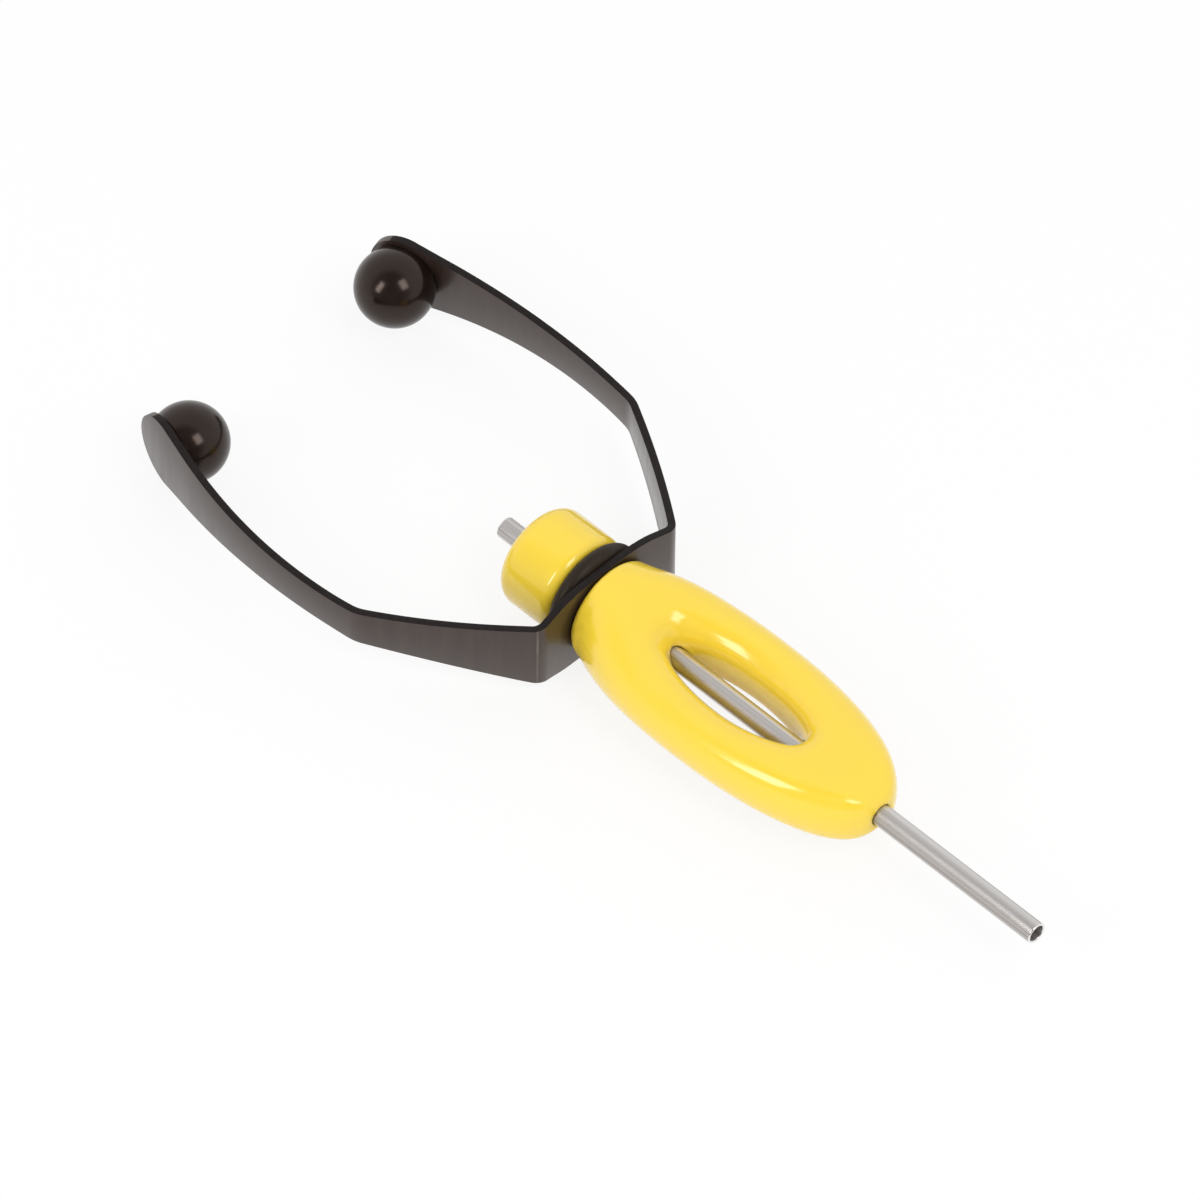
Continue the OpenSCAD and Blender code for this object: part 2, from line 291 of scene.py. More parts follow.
def grain_group() -> bpy.types.ShaderNodeTree:
    """Builds the shader group for fine surface grain: a tone mask and a bumped normal.

    Returns:
        The group. Inputs: Scale, Stretch, Detail, Contrast, Bump. Outputs: Mask, Normal.
    """
    found = bpy.data.node_groups.get("surface_grain")
    if found:
        return found
    group = bpy.data.node_groups.new("surface_grain", "ShaderNodeTree")
    face = group.interface
    face.new_socket("Scale", in_out="INPUT", socket_type="NodeSocketFloat")
    face.new_socket("Stretch", in_out="INPUT", socket_type="NodeSocketVector")
    face.new_socket("Detail", in_out="INPUT", socket_type="NodeSocketFloat")
    face.new_socket("Contrast", in_out="INPUT", socket_type="NodeSocketFloat")
    face.new_socket("Bump", in_out="INPUT", socket_type="NodeSocketFloat")
    face.new_socket("Mask", in_out="OUTPUT", socket_type="NodeSocketFloat")
    face.new_socket("Normal", in_out="OUTPUT", socket_type="NodeSocketVector")
    nodes, links = group.nodes, group.links
    inside = nodes.new("NodeGroupInput")
    outside = nodes.new("NodeGroupOutput")
    place = nodes.new("ShaderNodeTexCoord")
    stretch = nodes.new("ShaderNodeVectorMath")
    stretch.operation = "MULTIPLY"
    noise = nodes.new("ShaderNodeTexNoise")
    noise.inputs["Roughness"].default_value = GRAIN_ROUGHNESS
    spread = nodes.new("ShaderNodeMapRange")
    spread.inputs["From Min"].default_value = GRAIN_LOW
    spread.inputs["From Max"].default_value = GRAIN_HIGH
    weigh = nodes.new("ShaderNodeMath")
    weigh.operation = "MULTIPLY"
    bump = nodes.new("ShaderNodeBump")
    bump.inputs["Distance"].default_value = GRAIN_DEPTH
    links.new(place.outputs["Object"], stretch.inputs[0])
    links.new(inside.outputs["Stretch"], stretch.inputs[1])
    links.new(stretch.outputs["Vector"], noise.inputs["Vector"])
    links.new(inside.outputs["Scale"], noise.inputs["Scale"])
    links.new(inside.outputs["Detail"], noise.inputs["Detail"])
    links.new(noise.outputs["Fac"], spread.inputs["Value"])
    links.new(spread.outputs["Result"], weigh.inputs[0])
    links.new(inside.outputs["Contrast"], weigh.inputs[1])
    links.new(weigh.outputs["Value"], outside.inputs["Mask"])
    links.new(noise.outputs["Fac"], bump.inputs["Height"])
    links.new(inside.outputs["Bump"], bump.inputs["Strength"])
    links.new(bump.outputs["Normal"], outside.inputs["Normal"])
    return group


@dataclass(frozen=True)
class CornerWear:
    """The rubbed line down each front corner of the fork, where the blackening has worn thin."""

    corner: tuple[float, float, float] = (0.03, 10.985, 0.0)
    full_within: float = 0.04
    none_past: float = 0.15
    patch_scale: float = 330.0
    patch_detail: float = 4.0
    patch_low: float = 0.30
    patch_high: float = 0.66

    def group(self) -> bpy.types.ShaderNodeTree:
        """Builds the shader group, or returns it if it is there already.

        Returns:
            The group. Output: Mask, bright where the strip is worn.
        """
        found = bpy.data.node_groups.get("corner_wear")
        if found:
            return found
        group = bpy.data.node_groups.new("corner_wear", "ShaderNodeTree")
        group.interface.new_socket("Mask", in_out="OUTPUT", socket_type="NodeSocketFloat")
        nodes, links = group.nodes, group.links
        outside = nodes.new("NodeGroupOutput")
        place = nodes.new("ShaderNodeTexCoord")
        fold = nodes.new("ShaderNodeVectorMath")
        fold.operation = "ABSOLUTE"
        flat = nodes.new("ShaderNodeVectorMath")
        flat.operation = "MULTIPLY"
        flat.inputs[1].default_value = (1.0, 1.0, 0.0)
        away = nodes.new("ShaderNodeVectorMath")
        away.operation = "DISTANCE"
        away.inputs[1].default_value = [value * MM for value in self.corner]
        band = nodes.new("ShaderNodeMapRange")
        band.interpolation_type = "SMOOTHSTEP"
        band.inputs["From Min"].default_value = self.none_past * MM
        band.inputs["From Max"].default_value = self.full_within * MM
        patchy = nodes.new("ShaderNodeTexNoise")
        patchy.inputs["Scale"].default_value = self.patch_scale
        patchy.inputs["Detail"].default_value = self.patch_detail
        breaks = nodes.new("ShaderNodeMapRange")
        breaks.inputs["From Min"].default_value = self.patch_low
        breaks.inputs["From Max"].default_value = self.patch_high
        both = nodes.new("ShaderNodeMath")
        both.operation = "MULTIPLY"
        links.new(place.outputs["Object"], fold.inputs[0])
        links.new(fold.outputs["Vector"], flat.inputs[0])
        links.new(flat.outputs["Vector"], away.inputs[0])
        links.new(away.outputs["Value"], band.inputs["Value"])
        links.new(place.outputs["Object"], patchy.inputs["Vector"])
        links.new(patchy.outputs["Fac"], breaks.inputs["Value"])
        links.new(band.outputs["Result"], both.inputs[0])
        links.new(breaks.outputs["Result"], both.inputs[1])
        links.new(both.outputs["Value"], outside.inputs["Mask"])
        return group


@dataclass(frozen=True)
class Finish:
    """One surface finish, made into a material from nodes."""

    name: str
    colour: Colour
    shade: Colour
    roughness: float
    rough_shade: float
    metallic: float = 0.0
    specular: float = 0.5
    coat: float = 0.0
    coat_roughness: float = 0.05
    scale: float = 400.0
    grain: Grain = Grain.EVEN
    detail: float = 5.0
    contrast: float = 0.5
    bump: float = 0.1
    tint: Colour = (1.0, 1.0, 1.0)
    worn: Colour | None = None

    def material(self) -> bpy.types.Material:
        """Builds the material, or returns it if it is there already.

        Returns:
            The material.
        """
        found = bpy.data.materials.get(self.name)
        if found:
            return found
        made = bpy.data.materials.new(self.name)
        made.use_nodes = True
        nodes, links = made.node_tree.nodes, made.node_tree.links
        shader = nodes["Principled BSDF"]
        shader.inputs["Metallic"].default_value = self.metallic
        shader.inputs["Specular IOR Level"].default_value = self.specular
        shader.inputs["Coat Weight"].default_value = self.coat
        shader.inputs["Coat Roughness"].default_value = self.coat_roughness
        shader.inputs["Specular Tint"].default_value = (*self.tint, 1.0)
        grain = nodes.new("ShaderNodeGroup")
        grain.node_tree = grain_group()
        grain.inputs["Scale"].default_value = self.scale
        grain.inputs["Stretch"].default_value = self.grain.value
        grain.inputs["Detail"].default_value = self.detail
        grain.inputs["Contrast"].default_value = self.contrast
        grain.inputs["Bump"].default_value = self.bump
        tone = nodes.new("ShaderNodeMix")
        tone.data_type = "RGBA"
        tone.inputs["A"].default_value = (*self.colour, 1.0)
        tone.inputs["B"].default_value = (*self.shade, 1.0)
        rough = nodes.new("ShaderNodeMapRange")
        rough.inputs["To Min"].default_value = self.roughness
        rough.inputs["To Max"].default_value = self.rough_shade
        links.new(grain.outputs["Mask"], tone.inputs["Factor"])
        links.new(grain.outputs["Mask"], rough.inputs["Value"])
        colour = tone.outputs["Result"]
        if self.worn:
            wear = nodes.new("ShaderNodeGroup")
            wear.node_tree = CornerWear().group()
            colour = self.blend_in(made, colour, self.worn, wear.outputs["Mask"])
        links.new(colour, shader.inputs["Base Color"])
        links.new(rough.outputs["Result"], shader.inputs["Roughness"])
        links.new(grain.outputs["Normal"], shader.inputs["Normal"])
        return made

    def blend_in(
        self, made: bpy.types.Material, under: bpy.types.NodeSocket, over: Colour, mask: bpy.types.NodeSocket
    ) -> bpy.types.NodeSocket:
        """Lays a second colour over the first where the mask is bright.

        Args:
            made: the material being built.
            under: the colour so far.
            over: the second colour.
            mask: where the second colour shows.

        Returns:
            The mixed colour.
        """
        mix = made.node_tree.nodes.new("ShaderNodeMix")
        mix.data_type = "RGBA"
        mix.inputs["B"].default_value = (*over, 1.0)
        made.node_tree.links.new(mask, mix.inputs["Factor"])
        made.node_tree.links.new(under, mix.inputs["A"])
        return mix.outputs["Result"]

    def dress(self, piece: bpy.types.Object) -> None:
        """Gives the piece this finish in every one of its material slots."""
        piece.data.materials.clear()
        piece.data.materials.append(self.material())

    def dress_faces(self, piece: bpy.types.Object, wanted: Callable[[Vector, Vector], bool]) -> None:
        """Gives this finish to some of the piece's faces, over the finish that it has.

        Args:
            piece: the object, dressed already.
            wanted: says yes to a face's middle and normal.
        """
        piece.data.materials.append(self.material())
        open_mesh(piece, "FACE")
        pick_faces(piece, wanted)
        piece.active_material_index = len(piece.data.materials) - 1
        bpy.ops.object.material_slot_assign()
        close_mesh()


YELLOW = Finish(
    "yellow_lacquer", colour=(0.95, 0.685, 0.050), shade=(0.93, 0.645, 0.038),
    roughness=0.20, rough_shade=0.26, coat=0.5, coat_roughness=0.08,
    scale=260.0, contrast=0.25, bump=0.015,
)
STRIP = Finish(
    "blackened_spring_strip", colour=(0.024, 0.014, 0.011), shade=(0.046, 0.029, 0.024),
    roughness=0.30, rough_shade=0.44, specular=0.4, coat=0.45, coat_roughness=0.16,
    scale=900.0, grain=Grain.UPRIGHT, contrast=0.7, bump=0.08,
    tint=(1.0, 0.86, 0.80), worn=(0.135, 0.11, 0.092),
)
# Painted shade: the strip's top and bottom faces are painted darker and duller, standing in for the dark
# room above that they reflect.
STRIP_EDGE_PAINTED_SHADE = Finish(
    "sheared_strip_edge", colour=(0.010, 0.007, 0.007), shade=(0.022, 0.017, 0.016),
    roughness=0.50, rough_shade=0.65, specular=0.15,
    scale=1600.0, grain=Grain.UPRIGHT, contrast=0.7, bump=0.12,
)
STRIP_ARRIS = Finish(
    "rubbed_strip_arris", colour=(0.050, 0.038, 0.034), shade=(0.125, 0.105, 0.092),
    roughness=0.34, rough_shade=0.48, specular=0.4, scale=420.0, contrast=1.0, bump=0.08,
)
BEAD = Finish(
    "bead_moulded_black", colour=(0.009, 0.005, 0.004), shade=(0.017, 0.011, 0.009),
    roughness=0.17, rough_shade=0.23, specular=0.42, scale=500.0, bump=0.03, tint=(1.0, 0.80, 0.70),
)
RUBBER = Finish(
    "washer_rubber", colour=(0.014, 0.009, 0.006), shade=(0.024, 0.016, 0.011),
    roughness=0.42, rough_shade=0.55, specular=0.3, tint=(1.0, 0.86, 0.72),
    scale=1500.0, contrast=0.6, bump=0.12,
)
TUBE = Finish(
    "drawn_tube_steel", colour=(0.76, 0.745, 0.735), shade=(0.42, 0.39, 0.37),
    roughness=0.39, rough_shade=0.47, metallic=1.0,
    scale=1400.0, grain=Grain.LENGTHWISE, detail=1.0, contrast=1.2, bump=0.01,
)
TUBE_LIP = Finish(
    "polished_tube_lip", colour=(0.82, 0.81, 0.80), shade=(0.68, 0.67, 0.66),
    roughness=0.10, rough_shade=0.17, metallic=1.0, scale=900.0, contrast=0.4, bump=0.015,
)
STEEL = Finish(
    "turned_steel", colour=(0.56, 0.55, 0.55), shade=(0.46, 0.45, 0.45),
    roughness=0.26, rough_shade=0.36, metallic=1.0, scale=1800.0, contrast=0.6, bump=0.08,
)
BRASS = Finish(
    "turned_brass", colour=(0.66, 0.47, 0.18), shade=(0.52, 0.36, 0.13),
    roughness=0.24, rough_shade=0.34, metallic=1.0, scale=1800.0, contrast=0.6, bump=0.08,
)


# The object's pieces


@dataclass
class Grip:
    """The yellow grip: an oval with a lens-shaped window, taken from its solid and softened."""

    weld: float = 0.001
    voxel: float = 0.2
    soften_share: float = 0.5
    soften_rounds: int = 7
    smooth_deg: float = 60.0
    window_rear: float = 10.76
    window_front: float = 30.56
    window_half: float = 3.6
    rail_edge: float = 9.55
    point: float = 2.12
    narrow: float = 0.38
    narrow_share: float = 0.34
    upright: float = 0.9
    upright_share: float = 0.25
    upright_ends_share: float = 0.35
    upright_full_share: float = 0.75
    upright_from: float = 1.0
    upright_to: float = 2.2
    flare_from: float = 3.6
    tube_r: float = 1.31
    mouth: float = 0.6
    bore_from: float = 9.0

    def build(self) -> bpy.types.Object:
        """Copies the solid, merges it and rounds its edges off.

        Returns:
            The grip.
        """
        take(frame["nodes"]["grip"])
        bpy.ops.object.duplicate()
        piece = bpy.context.object
        piece.name = piece.data.name = "grip_body"
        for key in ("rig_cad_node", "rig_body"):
            if key in piece:
                del piece[key]
        piece.parent = None
        open_mesh(piece)
        bpy.ops.mesh.select_all(action="SELECT")
        bpy.ops.mesh.remove_doubles(threshold=self.weld * MM)
        close_mesh()
        add_modifier(piece, "REMESH", mode="VOXEL", voxel_size=self.voxel * MM)
        self.shape_window(piece)
        add_modifier(piece, "SMOOTH", factor=self.soften_share, iterations=self.soften_rounds)
        self.close_mouths(piece)
        YELLOW.dress(piece)
        return finish_piece(piece, "handle", ["grip"], self.smooth_deg)

    def close_mouths(self, piece: bpy.types.Object) -> None:
        """Draws the bore's mouths in to the tube, which the softening has opened.

        Args:
            piece: the grip, softened.
        """
        for vertex in piece.data.vertices:
            radius = math.hypot(vertex.co.y, vertex.co.z) / MM
            if vertex.co.x < self.bore_from * MM or radius >= self.tube_r + self.mouth:
                continue
            over = max(radius - self.tube_r, 0.0)
            closed = (self.tube_r + over**2 / self.mouth) / max(radius, TINY)
            vertex.co.y *= closed
            vertex.co.z *= closed

    def shape_window(self, piece: bpy.types.Object) -> None:
        """Draws the window's wall in to the real waist and sets its lower half upright, under the lip.

        Args:
            piece: the grip, a closed even mesh.
        """
        middle = (self.window_rear + self.window_front) / 2
        reach = (self.window_front - self.window_rear) / 2
        for vertex in piece.data.vertices:
            x, y, z = (value / MM for value in vertex.co)
            along = abs(x - middle) / reach
            if along >= 1:
                continue
            width = (1 - along**self.point) ** (1 / self.point)
            waist = self.window_half * width
            out = max((abs(y) - waist) / (self.rail_edge - waist), 0.0)
            hold = ramp(width, self.upright_ends_share, self.upright_full_share)
            hold *= ramp(-z, 0.0, self.upright_from) * ramp(-z, self.flare_from, self.upright_to)
            share = 1 - self.upright * hold * math.exp(-((out / self.upright_share) ** 2))
            inward = self.narrow * width * math.exp(-((out / self.narrow_share) ** 2))
            vertex.co.y = math.copysign(waist + (abs(y) - waist) * share - inward, y) * MM


@dataclass
class ForkStrip:
    """One half of the fork's spring strip: half the front plate, the corner and one arm."""

    side: Side
    thickness: float = 0.9
    spread: float = 21.2
    bow: float = 0.5
    plate_w: float = 11.6
    corner_w: float = 9.1
    waist_w: float = 4.6
    corner_r: float = 1.6
    lean: float = 36.9
    limb_a: float = 19.324
    turn_a: float = 8.0
    elbow: float = 20.8
    elbow_r: float = 5.0
    limb_b: float = 32.8
    turn_b: float = 22.7
    end_d: float = 9.5
    round_back: float = 0.8
    waist_share: float = 0.42
    neck_share: float = 1.012
    plate_oval: float = 4.6
    front_flare: float = 1.7
    rear_flare: float = 2.1
    corner_blend: float = 1.8
    blend_reach: float = 2.5
    blend_steps: int = 6
    least_half: float = 0.12
    hole_r: float = 3.06
    hole_depth: float = 6.0
    hole_sides: int = 96
    edge_round: float = 0.12
    edge_segments: int = 3
    sharp_deg: float = 50.0
    smooth_deg: float = 35.0
    flat_edge: float = 0.88
    flat_side: float = 0.30
    flex_start: Point = (-0.8, 11.3)
    flex_end: Point = (-6.0, 15.0)
    steps: tuple[int, ...] = (26, 9, 40, 8, 40, 10, 22)
    stations: list[tuple[float, float, float]] = field(default_factory=list)

    def walk(self) -> None:
        """Follows the strip's middle line and notes (x, y, half height) at each station, in mm."""
        bow_r = ((self.spread / 2) ** 2 + self.bow**2) / (2 * self.bow)
        sweep = math.degrees(math.asin(self.spread / 2 / bow_r))
        cut = self.corner_r * math.tan(math.radians((90 + sweep - self.lean) / 2))
        plate_deg = sweep * (1 - 2 * cut / self.spread)
        flat_len = self.end_d / 2
        stretches = [
            (math.radians(plate_deg) * bow_r, -plate_deg),
            (math.radians(90 + plate_deg - self.lean) * self.corner_r, 90 + plate_deg - self.lean),
            (self.limb_a, self.turn_a),
            (math.radians(self.elbow) * self.elbow_r, self.elbow),
            (self.limb_b - flat_len, self.turn_b),
            (flat_len, 0.0),
            (flat_len, 0.0),
        ]
        x, y, lean, run = -self.bow, 0.0, 90.0, 0.0
        path = [(x, y, run)]
        ends: list[Point] = []
        for index, ((length, turn), steps) in enumerate(zip(stretches, self.steps)):
            marks = [step / steps for step in range(steps + 1)]
            if index == len(stretches) - 1:
                marks = [math.sin(math.pi / 2 * mark) for mark in marks]
            for before, after in zip(marks, marks[1:]):
                share = after - before
                middle = math.radians(lean - turn * share / 2)
                x -= length * share * math.cos(middle)
                y += length * share * math.sin(middle)
                lean -= turn * share
                run += length * share
                path.append((x, y, run))
            ends.append((run, y))
        (corner_start, corner_y), (corner_end, _), (stud_run, _) = ends[0], ends[1], ends[-2]
        bead_x = next(x for x, _, run in path if abs(run - stud_run) < TINY)
        halves: list[Point] = []
        for x, y, run in path:
            if run <= corner_start + TINY:
                rise = 1 - (y / corner_y) ** self.plate_oval
                half = self.corner_w / 2 + (self.plate_w - self.corner_w) / 2 * rise
            else:
                half = self.half_height(min(x, 0.0), bead_x)
            past = run - stud_run
            if past > -self.round_back:
                half = math.sqrt(max((self.end_d / 2) ** 2 - past**2, 0.0))
            halves.append((run, max(half, self.least_half)))
        reach = self.blend_reach * self.corner_blend
        self.stations = []
        for (x, y, run), (_, half) in zip(path, halves):
            if corner_start - reach < run < corner_end + reach:
                half = self.even_out(halves, run)
            self.stations.append((x, y, half))

    def even_out(self, halves: Sequence[Point], run: float) -> float:
        """Takes the mean half height round a place, which rounds the outline off at the corner.

        Args:
            halves: (way along the strip, half height) of every station, in mm.
            run: the place along the strip, in mm.

        Returns:
            The mean half height, in mm.
        """
        total = 0.0
        for step in range(-self.blend_steps, self.blend_steps + 1):
            place = abs(run + self.corner_blend * step / self.blend_steps)
            after = next(i for i, (way, _) in enumerate(halves) if way >= place)
            (low, first), (high, last) = halves[max(after - 1, 0)], halves[after]
            share = 0.0 if high == low else (place - low) / (high - low)
            total += first + (last - first) * share
        return total / (2 * self.blend_steps + 1)

    def half_height(self, x: float, bead_x: float) -> float:
        """Half the strip's height at a place along the arm.

        Args:
            x: the place, in mm.
            bead_x: where the bead's stud is, in mm.

        Returns:
            Half the height, in mm.
        """
        waist_x = bead_x * self.waist_share
        half = self.waist_w / 2
        if x >= waist_x:
            return half + (self.corner_w / 2 - half) * (1 - x / waist_x) ** self.front_flare
        neck = self.end_d / 2 * self.neck_share
        return half + (neck - half) * ((x - waist_x) / (bead_x - waist_x)) ** self.rear_flare

    def build(self) -> bpy.types.Object:
        """Pulls the strip out edge by edge, gives it its thickness and rounds its edges.

        Returns:
            The half strip, running from the front plate round its corner into the arm.
        """
        self.walk()
        first = self.stations[0]
        clear_selection()
        bpy.ops.mesh.primitive_plane_add(
            size=2 * MM, location=(first[0] * MM, 0, 0), rotation=(0, math.pi / 2, 0)
        )
        piece = bpy.context.object
        piece.name = piece.data.name = f"fork_strip_{self.side.word}"
        bpy.ops.object.transform_apply(location=True, rotation=True)
        open_mesh(piece, "EDGE")
        mesh = bmesh.from_edit_mesh(piece.data)
        for vertex in mesh.verts:
            vertex.select_set(vertex.co.y < 0)
        bmesh.update_edit_mesh(piece.data)
        bpy.ops.mesh.select_mode(type="VERT")
        bpy.ops.mesh.delete(type="VERT")
        bpy.ops.mesh.select_all(action="SELECT")
        bpy.ops.transform.translate(value=(0, -MM, 0))
        bpy.ops.transform.resize(value=(1, 1, first[2]), center_override=(0, 0, 0))
        for before, after in zip(self.stations, self.stations[1:]):
            step = ((after[0] - before[0]) * MM, (after[1] - before[1]) * MM, 0.0)
            bpy.ops.mesh.extrude_region_move(TRANSFORM_OT_translate={"value": step})
            bpy.ops.transform.resize(value=(1, 1, after[2] / before[2]), center_override=(0, 0, 0))
        close_mesh()
        add_modifier(piece, "SOLIDIFY", thickness=self.thickness * MM, offset=0.0, use_even_offset=True)
        self.drill(piece)
        if self.side is Side.RIGHT:
            open_mesh(piece)
            bpy.ops.mesh.select_all(action="SELECT")
            bpy.ops.transform.resize(value=(1, -1, 1), center_override=(0, 0, 0))
            close_mesh()
        open_mesh(piece)
        bpy.ops.mesh.select_all(action="SELECT")
        bpy.ops.mesh.normals_make_consistent(inside=False)
        close_mesh()
        add_modifier(
            piece, "BEVEL", width=self.edge_round * MM, segments=self.edge_segments,
            limit_method="ANGLE", angle_limit=math.radians(self.sharp_deg),
        )
        STRIP.dress(piece)
        low, high = self.flat_side, self.flat_edge
        # Painted shade on the faces that look up or down: a darker finish stands in for the dark room that
        # they reflect.
        STRIP_EDGE_PAINTED_SHADE.dress_faces(piece, lambda middle, normal: abs(normal.z) > high)
        STRIP_ARRIS.dress_faces(piece, lambda middle, normal: low < abs(normal.z) <= high)
        take(piece)
        bpy.ops.object.shade_smooth_by_angle(angle=math.radians(self.smooth_deg))
        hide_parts("fork_plate", f"fork_arm_{self.side.word}")
        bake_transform(piece)
        return piece

    def drill(self, piece: bpy.types.Object) -> None:
        """Cuts the hole for the hollow screw into the front plate.

        Args:
            piece: the half strip.
        """
        clear_selection()
        bpy.ops.mesh.primitive_cylinder_add(
            vertices=self.hole_sides, radius=self.hole_r * MM, depth=self.hole_depth * MM,
            rotation=(0, math.pi / 2, 0),
        )
        drill = bpy.context.object
        add_modifier(piece, "BOOLEAN", operation="DIFFERENCE", object=drill, solver="EXACT")
        bpy.data.objects.remove(drill)


@dataclass
class Bead:
    """A ball bead, cut flat to lie on the strip's inner face."""

    side: Side
    centre: Point = (-50.2966, 16.4445)
    lean: float = -14.6
    radius: float = 4.75
    stand: float = 2.6
    rim: float = 0.25
    rim_deg: float = 3.5
    stud_r: float = 1.0
    stud_in: float = 3.4
    arc_steps: int = 48
    turn_steps: int = 96

    def build(self) -> bpy.types.Object:
        """Turns the ball about the stud's axis.

        Returns:
            The bead.
        """
        sign = self.side.value
        outward = Vector((math.sin(math.radians(self.lean)), sign * math.cos(math.radians(self.lean)), 0))
        middle = Vector((self.centre[0] * MM, sign * self.centre[1] * MM, 0))
        flat_r = math.sqrt(self.radius**2 - self.stand**2)
        meet = math.degrees(math.atan2(flat_r, self.stand))
        ball = arc((0.0, 0.0), self.radius, 180.0, meet + self.rim_deg, self.arc_steps)
        ball[0] = (-self.radius, 0.0)
        bottom = self.stand - self.stud_in
        hole = [(self.stand, self.stud_r), (bottom, self.stud_r), (bottom, 0.0)]
        profile = [(a * MM, r * MM) for a, r in [*ball, (self.stand, flat_r - self.rim), *hole]]
        name = f"ball_bead_{self.side.word}"
        piece = spin_profile(name, profile, middle, outward, self.turn_steps, closed=False)
        BEAD.dress(piece)
        return finish_piece(piece, f"arm_{self.side.word}", [f"bead_{self.side.word}"])


@dataclass
class Washer:
    """The rubber washer with its fully rounded rim."""

    front_x: float = -1.03
    thickness: float = 2.1
    radius: float = 6.75
    bore_r: float = 3.06
    edge: float = 0.15
    arc_steps: int = 24
    turn_steps: int = 128

    def build(self) -> bpy.types.Object:
        """Turns the washer about the tube's axis.

        Returns:
            The washer.
        """
        half = self.thickness / 2
        rear_x = self.front_x - self.thickness
        rim = arc((self.front_x - half, self.radius - half), half, 180.0, 0.0, self.arc_steps)
        inner = [
            (self.front_x, self.bore_r + self.edge), (self.front_x - self.edge, self.bore_r),
            (rear_x + self.edge, self.bore_r), (rear_x, self.bore_r + self.edge),
        ]
        profile = [(a * MM, r * MM) for a, r in [*rim, *inner]]
        name = "tension_washer"
        piece = spin_profile(name, profile, Vector((0, 0, 0)), Vector((1, 0, 0)), self.turn_steps)
        RUBBER.dress(piece)
        return finish_piece(piece, "washer", ["rubber_washer"])


@dataclass
class Knob:
    """The tension knob: a rounded shell, hollow for its brass insert and the screw's end."""

    front_x: float = -3.21
    length: float = 8.4
    radius: float = 6.35
    rim: float = 2.0
    edge: float = 1.3
    insert_r: float = 4.5
    insert_len: float = 4.6
    hollow_x: float = -9.89
    hollow_r: float = 4.2
    bore_r: float = 1.5
    mouth: float = 0.25
    rim_steps: int = 20
    edge_steps: int = 8
    mouth_steps: int = 6
    turn_steps: int = 160
    smooth_deg: float = 50.0

    def build(self) -> bpy.types.Object:
        """Turns the shell about the tube's axis.

        Returns:
            The knob.
        """
        rear = self.front_x - self.length
        insert_x = self.front_x - self.insert_len
        mouth_x = rear + self.mouth
        outer = arc((rear + self.rim, self.radius - self.rim), self.rim, 180.0, 90.0, self.rim_steps)
        outer += arc(
            (self.front_x - self.edge, self.radius - self.edge), self.edge, 90.0, 0.0, self.edge_steps
        )
        inner = [
            (self.front_x, self.insert_r), (insert_x, self.insert_r), (insert_x, self.hollow_r),
            (self.hollow_x, self.hollow_r), (self.hollow_x, self.bore_r), (mouth_x, self.bore_r),
        ]
        mouth_arc = arc((mouth_x, self.bore_r + self.mouth), self.mouth, 270.0, 180.0, self.mouth_steps)
        profile = [(a * MM, r * MM) for a, r in [*outer, *inner, *mouth_arc[1:]]]
        name = "tension_knob_shell"
        piece = spin_profile(name, profile, Vector((0, 0, 0)), Vector((1, 0, 0)), self.turn_steps)
        YELLOW.dress(piece)
        return finish_piece(piece, "tension_knob", ["knob"], self.smooth_deg)


@dataclass
class ThreadTube:
    """The steel thread tube with its rounded lips."""

    outer_r: float = 1.3
    wall: float = 0.3
    lip_slope: float = 0.12
    length_steps: int = 24
    lip_steps: int = 8
    turn_steps: int = 64

    def build(self) -> bpy.types.Object:
        """Turns the tube about its axis, between the solid's own ends.

        Returns:
            The tube.
        """
        low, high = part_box("thread_tube")
        lip = self.wall / 2
        middle = self.outer_r - lip
        rear, tip = low.x / MM + lip, high.x / MM - lip
        places = [rear + (tip - rear) * step / self.length_steps for step in range(1, self.length_steps)]
        profile = arc((rear, middle), lip, 270.0, 90.0, self.lip_steps)
        profile += [(place, self.outer_r) for place in places]
        profile += arc((tip, middle), lip, 90.0, -90.0, self.lip_steps)
        profile += [(place, self.outer_r - self.wall) for place in reversed(places)]
        profile = [(a * MM, r * MM) for a, r in profile]
        name = "steel_thread_tube"
        piece = spin_profile(name, profile, Vector((0, 0, 0)), Vector((1, 0, 0)), self.turn_steps)
        TUBE.dress(piece)
        TUBE_LIP.dress_faces(piece, lambda middle, normal: abs(normal.x) > self.lip_slope)
        return finish_piece(piece, "handle", ["thread_tube"])


@dataclass
class SolidFinishes:
    """The finish of every solid. The hidden parts have no finer piece over them and show as they are."""

    finishes: dict[str, Finish] = field(
        default_factory=lambda: {
            "hollow_screw": STEEL, "stop_ring": STEEL, "knob_insert": BRASS,
            "bead_stud_left": STEEL, "bead_stud_right": STEEL, "bead_left": BEAD, "bead_right": BEAD,
            "grip": YELLOW, "knob": YELLOW, "thread_tube": TUBE, "rubber_washer": RUBBER,
            "fork_plate": STRIP, "fork_arm_left": STRIP, "fork_arm_right": STRIP,
        }
    )

    def dress(self) -> None:
        """Gives every solid its finish."""
        for name, finish in self.finishes.items():
            finish.dress(frame["nodes"][name])
            LOG.info("%s: %s", name, finish.name)


# Studio


@dataclass(frozen=True)
class Lamp:
    """A soft rectangular lamp, hung by shares of the camera's right, up and back directions."""

    name: str
    toward: tuple[float, float, float]
    size: Point
    power: float
    mirrored: bool = True


